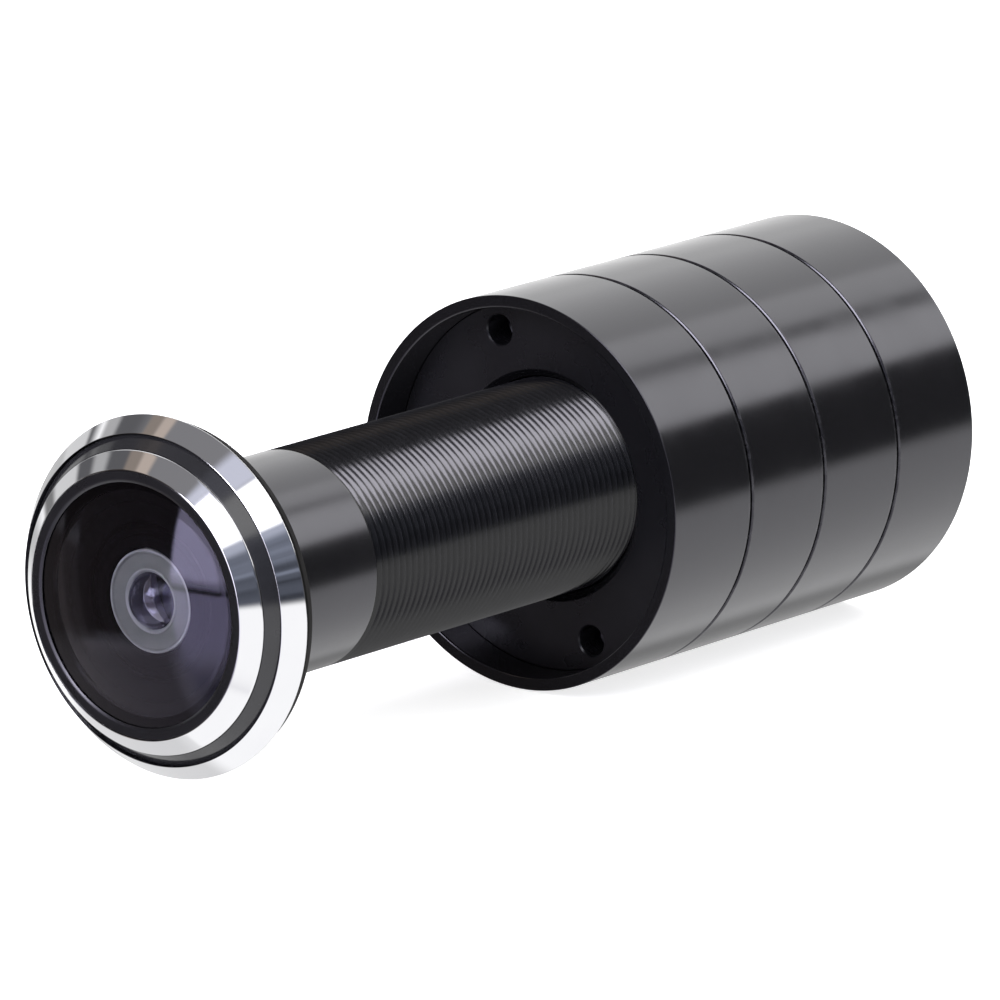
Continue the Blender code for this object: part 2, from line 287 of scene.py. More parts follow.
# Mirror-polished plating with hairline polishing marks and a faint haze
def makeChrome():
    look = chromeFinish
    made, t, put = newMaterial("polishedChrome")
    haze = t.noise(t.objectPoint(), *look["haze"])
    lines = t.noise(t.objectPoint(look["hairlines"]), 1.0, 3.0)
    put("Roughness", t.remap(haze, *look["hazeRange"], *look["roughness"]))
    put("Base Color", t.blendColour(haze, *look["colours"]))
    put("Metallic", 1.0)
    put("Normal", t.bump(lines, *look["bump"]))
    return made


anodisedFinish = {
    "colour": rgb(0.0042, 0.0042, 0.0050), "worn": rgb(0.028, 0.028, 0.030), "cast": rgb(1.0, 0.985, 1.09),
    "roughness": (0.12, 0.17), "broad": (220.0, 4.0), "turningMarks": (40, 1 / 0.00009, 40),
    "turningHaze": 0.03, "wornWidth": (0.00005, 0.00032), "patches": (900.0, 5.0, 0.65),
    "patchRange": (0.42, 0.68), "grain": (5200.0, 2.0), "grainShare": 0.35, "bump": (0.03, 0.00003),
}


# Black anodised aluminium with fine turning marks, worn a little along the edges at the given y values
def makeAnodised(name, edges=(), roughnessShift=0.0, turning=1.0, shine=0.5):
    look = anodisedFinish
    made, t, put = newMaterial(name)
    point = t.objectPoint()
    turned = t.noise(t.objectPoint(look["turningMarks"]), 1.0, 2.0)
    broad = t.noise(point, *look["broad"])
    grain = t.noise(point, *look["grain"])
    roughness = t.math("ADD", t.remap(broad, *cloudRange, *look["roughness"]), roughnessShift)
    put("Roughness", t.math("ADD", roughness, t.math("MULTIPLY", turned, look["turningHaze"])))
    worn = 0.0
    along = t.axes(point)[1]
    for edge in edges:
        near = t.math("ABSOLUTE", t.math("SUBTRACT", along, edge * mm))
        worn = t.math("MAXIMUM", worn, t.remap(near, *look["wornWidth"], 1.0, 0.0, True))
    patchy = t.remap(t.noise(point, *look["patches"]), *look["patchRange"])
    share = t.math("MULTIPLY", worn, patchy)
    put("Base Color", t.blendColour(share, look["colour"], look["worn"]))
    put("Specular IOR Level", shine)
    put("Specular Tint", look["cast"])
    height = t.math("ADD", t.math("MULTIPLY", turned, turning), t.math("MULTIPLY", grain, look["grainShare"]))
    put("Normal", t.bump(height, *look["bump"]))
    return made


threadFinish = {
    "colours": (rgb(0.0040, 0.0040, 0.0048), rgb(0.012, 0.012, 0.014)), "crest": 0.12, "crestLift": 0.8,
    "patches": (700.0, 4.0, 0.6), "patchRange": (0.35, 0.7), "roughness": (0.14, 0.18), "shine": 0.36,
    "grain": (4200.0, 2.0), "bump": (0.03, 0.00003),
}


# The anodised thread: the crests are a shade lighter than the roots, in patches
def makeThreadFinish():
    look = threadFinish
    made, t, put = newMaterial("anodisedThread")
    point = t.objectPoint()
    outer = span("barrel").radius
    crest = t.remap(t.radiusAboutAxis(point), (outer - look["crest"]) * mm, outer * mm, 0.0, 1.0, True)
    patchy = t.remap(t.noise(point, *look["patches"]), *look["patchRange"])
    # Crests lighter than the roots, by radius and in patches
    share = t.math("MULTIPLY", crest, t.math("MULTIPLY", patchy, look["crestLift"]))
    put("Base Color", t.blendColour(share, *look["colours"]))
    put("Roughness", t.remap(patchy, 0.0, 1.0, *look["roughness"]))
    put("Specular IOR Level", look["shine"])
    put("Normal", t.bump(t.noise(point, *look["grain"]), *look["bump"]))
    return made


# The plain finishes, each two colours that cloud into each other over a fine grain: name, colours, roughness
# range, the cloud's scale and detail, the grain's scale and detail, its strength and depth, and other values
cloudedFinishes = {
    "band": (
        "charcoalEnamel", (0.010, 0.010, 0.0115), (0.015, 0.015, 0.017), (0.11, 0.16), (420.0, 4.0),
        (3500.0, 3.0), (0.04, 0.00002), {},
    ),
    "rubber": (
        "mouldedRubber", (0.005, 0.005, 0.005), (0.011, 0.010, 0.010), (0.62, 0.82), (300.0, 3.0),
        (2600.0, 4.0), (0.25, 0.00005), {"Specular IOR Level": 0.25},
    ),
    "plastic": (
        "blackMoulding", (0.006, 0.006, 0.007), (0.014, 0.013, 0.015), (0.42, 0.58), (500.0, 3.0),
        (3000.0, 3.0), (0.12, 0.00003), {},
    ),
    "mattBlack": (  # paint inside the optics, so that nothing shines behind the glass
        "mattBlackPaint", (0.0016, 0.0015, 0.0018), (0.0036, 0.0033, 0.0039), (0.40, 0.52), (600.0, 3.0),
        (4200.0, 3.0), (0.02, 0.00002), {"IOR": 1.0},
    ),
}
# The finishes with faint tool marks: name, colours, roughness range and whether it is a metal
toolMarks = {"cloud": (700.0, 4.0), "grain": (900.0, 2.0), "bump": (0.1, 0.00003), "stretch": (1, 30, 1)}
markedFinishes = {
    "brass": ("turnedBrass", (0.62, 0.42, 0.16), (0.78, 0.57, 0.26), (0.25, 0.38), 1.0),
    "steel": ("turnedSteel", (0.46, 0.46, 0.47), (0.60, 0.60, 0.61), (0.24, 0.36), 1.0),
    "darkSteel": ("blackenedSteel", (0.030, 0.030, 0.032), (0.055, 0.054, 0.056), (0.3, 0.42), 1.0),
    "chip": ("mouldedEpoxy", (0.012, 0.012, 0.013), (0.022, 0.022, 0.023), (0.45, 0.6), 0.0),
    "nylon": ("mouldedNylon", (0.66, 0.63, 0.55), (0.78, 0.75, 0.68), (0.4, 0.55), 0.0),
    "sleeve": ("shrinkSleeve", (0.018, 0.022, 0.055), (0.030, 0.036, 0.085), (0.2, 0.32), 0.0),
    "ceramic": ("firedCeramic", (0.10, 0.062, 0.040), (0.16, 0.105, 0.070), (0.35, 0.5), 0.0),
}


def makeClouded(name, dark, light, roughness, cloud, grain, bump, others, stretch=(1, 1, 1)):
    made, t, put = newMaterial(name)
    shade = t.noise(t.objectPoint(), *cloud)
    put("Base Color", t.blendColour(shade, rgb(*dark), rgb(*light)))
    put("Roughness", t.remap(shade, *cloudRange, *roughness))
    for socket, value in others.items():
        put(socket, value)
    put("Normal", t.bump(t.noise(t.objectPoint(stretch), *grain), *bump))
    return made


glassFinish = {
    "tint": rgb(0.86, 0.87, 0.93), "coat": rgb(0.80, 0.77, 1.0), "ior": 1.52, "smear": (140.0, 4.0),
    "smearRange": (0.4, 0.75), "roughness": (0.0, 0.03), "smearShade": 0.97,
}


# Coated optical glass. The coating gives its reflections a lavender cast
def makeGlass(name, tint, level):
    look = glassFinish
    made, t, put = newMaterial(name)
    put("Transmission Weight", 1.0)
    put("IOR", look["ior"])
    put("Specular IOR Level", level)
    put("Specular Tint", look["coat"])
    smear = t.noise(t.objectPoint(), *look["smear"])
    put("Roughness", t.remap(smear, *look["smearRange"], *look["roughness"]))
    put("Base Color", t.blendColour(smear, tint, rgb(*[v * look["smearShade"] for v in tint[:3]])))
    return made


innerLens = {
    "clearRadius": 2.36, "bevelRadius": 2.60, "rimRadius": 4.24, "rimFace": -2.62, "step": 0.12, "rear": -0.7,
    "rearRadius": 2.16, "rearApex": -1.9, "outerEdge": (0.24, 0.10), "innerEdge": 0.08,
}
# The ground rim's finish; "edge" is the colour of the painted highlight along its two edges
groundFinish = {
    "colours": (rgb(0.165, 0.168, 0.164), rgb(0.225, 0.228, 0.222)), "edge": rgb(0.42, 0.42, 0.425),
    "cloud": (900.0, 4.0), "roughness": (0.34, 0.5), "clear": 0.15, "milk": 0.2,
    "milkDepth": (0.0006, 0.0006, 0.0007), "grain": (9000.0, 3.0), "bump": (0.2, 0.00001),
}


# The finely ground rim of the inner lens: grey, half-clear and matt, with a painted highlight along both
# edges
def makeGroundGlass():
    look = groundFinish
    made, t, put = newMaterial("groundGlassRim")
    point = t.objectPoint()
    cloud = t.noise(point, *look["cloud"])
    radius = t.radiusAboutAxis(point)
    outer, bevel = innerLens["rimRadius"], innerLens["bevelRadius"]
    start, full = (outer - inset for inset in innerLens["outerEdge"])
    # Painted highlight: a band along the outer edge and one along the inner edge are painted paler
    outerEdge = t.remap(radius, start * mm, full * mm, 0.0, 1.0, True)
    innerEdge = t.remap(radius, bevel * mm, (bevel + innerLens["innerEdge"]) * mm, 1.0, 0.0, True)
    edges = t.math("MAXIMUM", outerEdge, innerEdge)
    ground = t.blendColour(cloud, *look["colours"])
    put("Base Color", t.blendColour(edges, ground, look["edge"]))
    put("Roughness", t.remap(cloud, *cloudRange, *look["roughness"]))
    put("Transmission Weight", look["clear"])
    put("Subsurface Weight", look["milk"])
    put("Subsurface Radius", look["milkDepth"])
    put("Normal", t.bump(t.noise(point, *look["grain"]), *look["bump"]))
    return made


maskFinish = {
    "tracks": 600.0, "trackWidth": 0.035, "trackShift": 0.37, "trackShades": (0.0, 0.15, 1.0),
    "green": (rgb(0.006, 0.075, 0.028), rgb(0.010, 0.110, 0.042)), "overTracks": rgb(0.02, 0.19, 0.07),
    "cloud": (500.0, 3.0), "roughness": (0.22, 0.36), "bump": (0.3, 0.00003),
}


# Green solder mask over copper tracks, which show through it a shade lighter
def makeBoardFinish():
    look = maskFinish
    made, t, put = newMaterial("solderMask")
    tracks = t.add("ShaderNodeTexBrick", offset=look["trackShift"], squash=1.0)
    t.wire(t.objectPoint((1, 0, 1)), tracks.inputs["Vector"])
    tracks.inputs["Scale"].default_value = look["tracks"]
    tracks.inputs["Mortar Size"].default_value = look["trackWidth"]
    for socket, shade in zip(("Color1", "Color2", "Mortar"), look["trackShades"]):
        tracks.inputs[socket].default_value = rgb(shade, shade, shade)
    cloud = t.noise(t.objectPoint(), *look["cloud"])
    base = t.blendColour(cloud, *look["green"])
    put("Base Color", t.blendColour(tracks.outputs["Color"], base, look["overTracks"]))
    put("Roughness", t.remap(cloud, *cloudRange, *look["roughness"]))
    put("Normal", t.bump(tracks.outputs["Fac"], *look["bump"]))
    return made


housingEdges = [span("housing_ring_%d" % i).front for i in (1, 2, 3, 4)]
grooveWidth = 0.4
housingRear = span("housing_ring_4").rear
wornEdges = [y for edge in housingEdges[1:] for y in (edge, edge - grooveWidth)] + [housingRear]

finish = {
    "chrome": makeChrome(),
    "housing": makeAnodised("anodisedHousing", wornEdges),
    "plate": makeAnodised("anodisedPlate", (), 0.12, 0.6),
    "collar": makeAnodised("anodisedCollar", (), 0.05, 1.0, 0.58),
    "thread": makeThreadFinish(),
    "frontGlass": makeGlass("coatedFrontGlass", glassFinish["tint"], 0.5),
    "innerGlass": makeGlass("coatedInnerGlass", rgb(0.72, 0.70, 0.86), 1.0),
    "filterGlass": makeGlass("infraredGlass", rgb(0.45, 0.72, 0.78), 0.5),
    "groundRim": makeGroundGlass(),
    "board": makeBoardFinish(),
}
finish.update({key: makeClouded(*row) for key, row in cloudedFinishes.items()})
for key, (*row, metallic) in markedFinishes.items():
    finish[key] = makeClouded(*row, others={"Metallic": metallic}, **toolMarks)
print("finishes made:", len(finish))


bezelShape = {
    "rimSetBack": 0.42, "rimThickness": 0.08, "backRadius": 13.9, "rimUndercut": 14.1, "flangeBore": 7.0,
    "bandOuter": 13.68, "bandInner": 12.54, "bandRecess": 0.5, "bandSlope": 1.15, "bandFloor": 0.25,
    "boreOfCap": 11.07, "capStep": -3.8, "capSeat": (8.6, -2.3), "retainerGap": 0.03,
    "retainerLip": ((10.3, 0.02, 0.1), (10.08, 0.14, 0.05), (10.1, 0.2, 0.03), (10.42, 0.26)),
    "gasketSpread": 0.2, "gasketLip": 0.5, "gasketSteps": (0.05, 0.25), "gasketGap": 0.05,
}


# Two polished rings on one cone, parted by a charcoal band
def makeBezel():
    size = bezelShape
    flange, cap, band = span("bezel_flange"), span("bezel_cap"), span("accent_band")
    floor = band.rear + size["bandFloor"]
    rimRear = flange.rear - size["rimSetBack"]
    outer, inner, bore = size["bandOuter"], size["bandInner"], size["boreOfCap"]
    turnedPiece("outerPolishedRing", [
        (flange.radius, rimRear, 0.03), (flange.radius, rimRear - size["rimThickness"], 0.04),
        (outer, flange.front, 0.08), (outer, floor), (size["flangeBore"], floor),
        (size["flangeBore"], flange.rear), (size["backRadius"], flange.rear, 0.1),
        (size["rimUndercut"], rimRear, 0.05),
    ], 256, "chrome", "viewer", "bezel_flange")
    low, high = inner + fit, outer - fit
    rise = size["bandSlope"] * (high - low)
    turnedPiece("charcoalBand", [
        (high, floor - fit), (high, flange.front + size["bandRecess"], 0.05),
        (low, flange.front - rise + size["bandRecess"], 0.05), (low, floor - fit),
    ], 256, "band", "viewer", "accent_band")
    seatRadius, seat = size["capSeat"]
    turnedPiece("innerPolishedRing", [
        (inner, cap.rear), (inner, size["capStep"], 0.1), (bore, cap.front, 0.12), (bore, seat),
        (seatRadius, seat), (seatRadius, cap.rear),
    ], 256, "chrome", "viewer", "bezel_cap")
    ring = span("lens_retaining_ring")
    edge = bore - size["retainerGap"]
    turnedPiece("glassRetainer", [
        (edge, ring.rear), (edge, ring.front + fit, 0.08),
        *[(radius, ring.front + depth, *rounding) for radius, depth, *rounding in size["retainerLip"]],
        (size["retainerLip"][-1][0], ring.rear),
    ], 256, "plate", "viewer", "lens_retaining_ring")
    gasket = span("door_gasket")
    outside, hole = gasket.radius + size["gasketSpread"], span("barrel").radius + size["gasketGap"]
    tongue = gasket.radius - size["gasketLip"]
    top, front = (gasket.front - step for step in size["gasketSteps"])
    turnedPiece("doorGasketRing", [
        (outside, gasket.rear, 0.04), (outside, gasket.front + fit, 0.1), (tongue, top),
        (tongue, front), (hole, front), (hole, gasket.rear),
    ], 160, "rubber", "viewer", "door_gasket")


makeBezel()
print("bezel made")


opticsShape = {
    "glassRadius": 10.35, "glassEdge": -4.645, "rimFront": -4.1, "rearRadius": 9.2, "rearApex": -5.0,
    "sealWidth": 0.6, "sealDepth": 0.3, "sealSides": 16,
    "dish": (
        (9.15, -2.6), (9.15, -3.1, 0.05), (8.2, -3.02, 0.05), (8.1, -2.8, 0.05), (6.45, -2.58, 0.08),
        (6.45, -2.2),
    ),
    "holderFront": -2.1,
    "holderFace": (
        (6.1, -2.45, 0.06), (5.9, -2.25, 0.05), (5.5, -2.3, 0.05), (5.35, -2.75, 0.06), (4.45, -2.85, 0.06),
    ),
    "holderBore": ((4.45, 4.6), (3.3, 4.6), (3.3, 5.6), (5.2, 5.6)),
}


def makeOptics():
    size = opticsShape
    glass = span("front_lens")
    outline = list(reversed(domePoints(size["rearRadius"], glass.rear, size["rearApex"], 14)))
    outline += [(glass.radius, glass.rear), (glass.radius, size["rimFront"])]
    outline += [(size["glassRadius"], size["rimFront"])]
    outline += domePoints(size["glassRadius"], size["glassEdge"], glass.front, 24)
    piece = lathe("frontGlass", outline, 192, False)
    finishPiece(piece, "frontGlass", "viewer", ["front_lens"])
    piece.data.materials.append(finish["mattBlack"])
    for polygon in piece.data.polygons:  # the ground edge and the flat behind it are painted black
        out = math.hypot(polygon.center.x, polygon.center.z) / mm
        behind = polygon.center.y / mm > size["glassEdge"]
        polygon.material_index = int(behind and out > size["rearRadius"])
    seal = span("lens_seal")
    middle = (seal.front + seal.rear) / 2
    tube = []
    for k in range(size["sealSides"]):
        angle = 2 * math.pi * k / size["sealSides"]
        radius = seal.radius - size["sealWidth"] + size["sealWidth"] * math.cos(angle)
        tube.append((radius, middle - size["sealDepth"] * math.sin(angle)))
    turnedPiece("glassSeal", tube, 96, "mattBlack", "viewer", "lens_seal")
    turnedPiece("lensDish", size["dish"], 160, "mattBlack", "viewer", "front_baffle")
    cell = span("lens_cell")
    turnedPiece("lensHolder", [
        (cell.radius, cell.rear), (cell.radius, size["holderFront"], 0.1), *size["holderFace"],
        *size["holderBore"], (size["holderBore"][-1][0], cell.rear),
    ], 160, "mattBlack", "viewer", "lens_cell")


# The second element: a small clear dome inside a ground rim whose two edges carry a painted highlight
def makeInnerLens():
    size, lens = innerLens, span("second_lens")
    face, clear, rear = size["rimFace"], size["clearRadius"], size["rear"]
    side = clear - fit
    outline = list(reversed(domePoints(size["rearRadius"], rear, size["rearApex"], 8)))
    outline += [(side, rear), (side, face + 0.3)]
    outline += domePoints(side, face + 0.22, lens.front, 18)
    dome = lathe("innerLensDome", outline, 128, False)
    finishPiece(dome, "innerGlass", "viewer", ["second_lens"])
    outer, bevel, flat = size["rimRadius"], size["bevelRadius"], face + size["step"]
    pale = outer - size["outerEdge"][0]
    rim = lathe("innerLensRim", softCorners([
        (outer, rear), (outer, face, 0.12), (pale, face - fit, 0.06), (pale - 0.1, flat, 0.05),
        (bevel + 0.1, flat, 0.05), (bevel, face - fit, 0.05), (clear, face + 0.18, 0.05), (clear, rear),
    ]), 160)
    finishPiece(rim, "groundRim", "viewer", [])


makeOptics()
makeInnerLens()
print("optics made")


# A new geometry tree that takes a geometry, the named inputs of each kind and a material
def newTree(name, inputs):
    tree = bpy.data.node_groups.new(name, "GeometryNodeTree")
    for kind, words in {"Geometry": ["Geometry"], **inputs, "Material": ["Material"]}.items():
        for word in words:
            tree.interface.new_socket(word, in_out="INPUT", socket_type="NodeSocket" + kind)
    tree.interface.new_socket("Geometry", in_out="OUTPUT", socket_type="NodeSocketGeometry")
    t = Tree(tree)
    return t, t.add("NodeGroupInput").outputs


# The end of a geometry tree: what it made is realised and takes its material
def endTree(t, given, geometry):
    real = t.node("GeometryNodeRealizeInstances", {0: geometry})
    painted = t.node("GeometryNodeSetMaterial", {"Geometry": real, "Material": given["Material"]})
    t.wire(painted, t.add("NodeGroupOutput").inputs[0])
    return t.tree


barrelShape = {
    "threadStart": 14.3, "depth": 0.46, "pitch": 0.75, "around": 120, "across": 8, "bore": 7.6, "reach": 0.25,
    "runOut": 0.6, "rearChamfer": 0.5, "frontChamfer": 0.1, "flat": 0.1, "fade": 0.8,
}


# Geometry nodes: a helical thread between two rings of a turned shell, which it closes
def threadTree():
    t, given = newTree("helicalThread", {
        "Float": ["Pitch", "Depth", "Radius", "Start", "End"], "Int": ["Around", "Across"],
    })
    length = t.math("SUBTRACT", given["End"], given["Start"])
    coils = t.math("ADD", t.math("CEIL", t.math("DIVIDE", length, given["Pitch"])), 1.0)
    grid = t.node("GeometryNodeMeshGrid", {
        "Vertices X": t.math("ADD", t.math("MULTIPLY", coils, given["Around"]), 1.0),
        "Vertices Y": t.math("ADD", given["Across"], 1.0),
    })
    flatPlace = t.axes(t.node("GeometryNodeInputPosition", {}))
    along, across = (t.math("ADD", flatPlace[i], 0.5) for i in (0, 1))
    turnsDone = t.math("MULTIPLY", along, coils)
    angle = t.math("MULTIPLY", turnsDone, 2 * math.pi)
    advance = t.math("MULTIPLY", t.math("ADD", turnsDone, t.math("SUBTRACT", across, 1.0)), given["Pitch"])
    y = t.math("MAXIMUM", t.math("ADD", given["Start"], advance), given["Start"])
    y = t.math("MINIMUM", y, given["End"])
    fold = t.math("SUBTRACT", 1.0, t.math("ABSOLUTE", t.math("MULTIPLY_ADD", across, 2.0, -1.0)))
    flat = barrelShape["flat"]  # the share of a turn that is flat on the crest, and as much in the root
    groove = t.math("DIVIDE", t.math("SUBTRACT", fold, flat), 1 - 2 * flat, clamp=True)
    fadeLength = t.math("MULTIPLY", given["Pitch"], barrelShape["fade"])
    fadeIn = t.math("DIVIDE", t.math("SUBTRACT", y, given["Start"]), fadeLength, clamp=True)
    fadeOut = t.math("DIVIDE", t.math("SUBTRACT", given["End"], y), fadeLength, clamp=True)
    cut = t.math("MULTIPLY", t.math("MULTIPLY", groove, given["Depth"]), t.math("MULTIPLY", fadeIn, fadeOut))
    radius = t.math("SUBTRACT", given["Radius"], cut)
    x, z = (t.math("MULTIPLY", radius, t.math(way, angle)) for way in ("COSINE", "SINE"))
    place = t.node("ShaderNodeCombineXYZ", {0: x, 1: y, 2: z})
    moved = t.node("GeometryNodeSetPosition", {"Geometry": grid, "Position": place})
    both = t.add("GeometryNodeJoinGeometry")
    t.wire(moved, both.inputs[0])
    t.wire(given["Geometry"], both.inputs[0])
    weld = t.node("GeometryNodeMergeByDistance", {"Geometry": both.outputs[0], "Distance": weldDistance})
    return endTree(t, given, weld)


# Puts a geometry tree on a piece, with its inputs set by their identifiers
def useTree(piece, tree, values):
    modifier = piece.modifiers.new(tree.name, "NODES")
    modifier.node_group = tree
    identifiers = {
        item.name: item.identifier for item in tree.interface.items_tree
        if item.item_type == "SOCKET" and item.in_out == "INPUT"
    }
    for name, value in values.items():
        modifier[identifiers[name]] = value
    bpy.context.view_layer.update()
    return plain(piece)


# Welds the piece, drops faces and edges with no size, and turns its faces outwards
def cleanMesh(piece, angle):
    shape = bmesh.new()
    shape.from_mesh(piece.data)
    bmesh.ops.remove_doubles(shape, verts=shape.verts, dist=weldDistance)
    bmesh.ops.dissolve_degenerate(shape, edges=shape.edges, dist=weldDistance / 2)
    for context, parts in (("EDGES", shape.edges), ("VERTS", shape.verts)):
        bmesh.ops.delete(shape, geom=[part for part in parts if not part.link_faces], context=context)
    bmesh.ops.recalc_face_normals(shape, faces=shape.faces)
    shape.to_mesh(piece.data)
    shape.free()
    piece.data.shade_smooth()
    piece.data.set_sharp_from_angle(angle=math.radians(angle))


def makeBarrel():
    size, barrel = barrelShape, span("barrel")
    radius, rear, front = barrel.radius, barrel.rear, barrel.front - size["reach"]
    start, end, chamfer = size["threadStart"], rear - size["runOut"], size["frontChamfer"]
    shell = [
        (radius, end), (radius - size["rearChamfer"], rear), (size["bore"], rear), (size["bore"], front),
        (radius - chamfer, front), (radius, front + chamfer), (radius, start - 0.05), (radius, start),
    ]
    made = lathe("threadedBarrel", shell, size["around"], False)
    made = useTree(made, threadTree(), {
        "Pitch": size["pitch"] * mm, "Depth": size["depth"] * mm, "Radius": radius * mm, "Start": start * mm,
        "End": end * mm, "Around": size["around"], "Across": size["across"], "Material": finish["thread"],
    })
    cleanMesh(made, 35)
    finishPiece(made, "thread", "viewer", ["barrel"])
    made.data.materials.append(finish["collar"])
    for polygon in made.data.polygons:
        if polygon.center.y < (start + fit) * mm:
            polygon.material_index = 1
    print("barrel faces:", len(made.data.polygons))


makeBarrel()
print("barrel made")


housingShape = {
    "edge": 0.07, "gap": 0.3, "spigotRadius": 15.2, "spigotLength": 2.7, "bore": 14.6, "recess": 15.85,
    "recessLeadIn": 0.18, "grooveFloor": 16.45, "grooveStep": 0.12, "grooveLap": 0.15, "groovePocket": 0.1,
    "socketDepth": 3.0, "chamferDepth": 0.15, "chamferLength": 0.10, "spigotRelief": (0.45, 0.7),
    "capFlange": 78.8, "flangeBore": 11.2,
}


# Four sections. Each has a small chamfer on its front edge, and a groove shows where it meets the next
def makeHousing():
    size = housingShape
    edge, bore, gap, floor = size["edge"], size["bore"], size["gap"], size["grooveFloor"]
    shoulder, lap = size["spigotRadius"] + gap, size["grooveLap"]
    depth, length = size["chamferDepth"], size["chamferLength"]
    for i in range(4):
        node = "housing_ring_%d" % (i + 1)
        ring = span(node)
        radius, front = ring.radius, ring.front
        rear = ring.rear if i == 3 else ring.rear - size["spigotLength"]
        corners = [(radius, rear, edge)]
        if i == 0:
            plateRear = span("front_plate").rear + gap
            corners += [(radius, front, edge), (size["recess"], front, size["recessLeadIn"])]
            corners += [(size["recess"], plateRear), (bore, plateRear)]
        else:
            step = floor - size["grooveStep"]
            pocket, socket = front + size["groovePocket"], front + size["socketDepth"]
            corners += [(radius, front + length, 0.05), (radius - depth, front, 0.03), (floor, front, 0.05)]
            corners += [(floor, front - lap), (step, front - lap), (step, pocket)]
            corners += [(shoulder, pocket), (shoulder, socket), (bore, socket)]
        if i == 3:
            seat = span("rear_cap").front - gap
            corners += [(bore, size["capFlange"]), (size["flangeBore"], size["capFlange"])]
            corners += [(size["flangeBore"], seat), (shoulder - 0.22, seat), (shoulder - 0.22, rear, 0.2)]
        else:
            near, far = (rear + relief for relief in size["spigotRelief"])
            corners += [(bore, ring.rear), (shoulder - gap, ring.rear, 0.1), (shoulder - gap, far)]
            corners += [(floor - 0.14, near), (floor - 0.14, rear)]
        name = "housingSection%d" % (i + 1)
        turnedPiece(name, corners, 256, "housing", "housing", node)


plateShape = {
    "bore": 9.32, "leadIn": 9.95, "leadInDepth": 0.65, "holeRadius": 1.3, "holeAt": 13.65,
    "holeAngle": 21.4, "holeDepth": 2.9, "pointDepth": 3.3, "holeChamfer": 0.14,
}


def makeFrontPlate():
    size, plate = plateShape, span("front_plate")
    outer, front = housingShape["recess"] - fit, plate.front
    outline = softCorners([
        (outer, plate.rear), (outer, front, 0.05), (size["leadIn"], front, 0.05),
        (size["bore"], front + size["leadInDepth"], 0.05), (size["bore"], plate.rear),
    ])
    piece = lathe("frontPlateTurned", outline, 192)
    cutters = []
    for i in range(2):
        angle = math.radians(size["holeAngle"]) + i * math.pi
        x = -size["holeAt"] * math.sin(angle)
        z = size["holeAt"] * math.cos(angle)
        radius, chamfer = size["holeRadius"], size["holeChamfer"]
        wide = radius + chamfer
        cutters.append(lathe("spannerHole", [
            (0.0, front + size["pointDepth"]), (radius, front + size["holeDepth"]),
            (radius, front + chamfer - fit), (wide, front - fit), (wide, front - 1.0), (0.0, front - 1.0),
        ], 48, False, (x, z)))
    piece = drill(piece, cutters)
    finishPiece(piece, "plate", "housing", ["front_plate"])


# Geometry nodes: one shape at each given point, realised
def pointsTree():
    t, given = newTree("shapesOnPoints", {"Object": ["Shape"], "Float": ["Turn"], "Int": ["Seed"]})
    shape = t.node("GeometryNodeObjectInfo", {"Object": given["Shape"]}, "Geometry")
    chance = {3: given["Turn"], "Seed": given["Seed"]}
    angle = t.node("FunctionNodeRandomValue", chance, 1, data_type="FLOAT")
    turned = t.node("ShaderNodeCombineXYZ", {1: angle})
    placed = {"Points": given["Geometry"], "Instance": shape, "Rotation": turned}
    return endTree(t, given, t.node("GeometryNodeInstanceOnPoints", placed))


shapesOnPoints = pointsTree()


screwSizes = {
    "cap": {"head": 1.6, "shank": 0.8}, "board": {"head": 1.3, "shank": 0.6},
    "headHeight": 0.5, "headFoot": 0.1, "point": 0.25, "socket": 0.5, "socketDepth": (0.55, 0.75),
    "turn": 3.1, "seed": 7,
}


# One socket-head screw about the origin, its length read from the first node
def screwShape(kind, nodes):
    size = screwSizes
    radius, shank = size[kind]["head"], size[kind]["shank"]
    low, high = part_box(nodes[0])
    half = (high.y - low.y) / mm / 2
    head = size["headHeight"] * radius + size["headFoot"]
    outline = softCorners([
        (radius, half, 0.18), (radius, half - head, 0.05), (shank, half - head),
        (shank, -half + size["point"]), (shank * 0.5, -half),
    ])
    shape = lathe("screwShape", [(0.0, half)] + outline + [(0.0, -half)], 40, False)
    across, (side, middle) = radius * size["socket"], (half - head * share for share in size["socketDepth"])
    socket = [(0.0, half + 0.5), (across, half + 0.5), (across, side), (0.0, middle)]
    return drill(shape, [lathe("hexSocket", socket, 6, False)])


# One shape repeated at the given places, each turned by up to turn radians about Y
def repeatShape(name, places, shape, turn, look, body, nodes):
    mesh = bpy.data.meshes.new(name)
    mesh.from_pydata(places, [], [])
    holder = bpy.data.objects.new(name, mesh)
    bpy.context.scene.collection.objects.link(holder)
    values = {"Shape": shape, "Turn": turn, "Seed": screwSizes["seed"], "Material": finish[look]}
    made = useTree(holder, shapesOnPoints, values)
    bpy.data.objects.remove(shape)
    made.data.set_sharp_from_angle(angle=math.radians(35))
    return finishPiece(made, look, body, nodes)


def makeScrews(name, nodes, kind, look, body):
    places = [centreOf(node) for node in nodes]
    shape = screwShape(kind, nodes)
    repeatShape(name, places, shape, screwSizes["turn"], look, body, nodes)


capShape = {
    "edgeGap": 0.05, "grommetHole": 3.15,
    "ring": ((8.6, 0.0), (8.75, 0.12, 0.04), (8.95, 0.12, 0.04), (9.1, 0.0)),
    "seatRadius": 1.85, "seatDepth": 1.15, "seatChamfer": 0.15, "shankHole": 1.0,
}
grommetShape = {
    "neck": 3.0, "flange": 4.4, "foot": 4.1, "bore": 1.7, "nose": (0.5, 0.7), "lap": 0.04, "behind": 0.1,
}


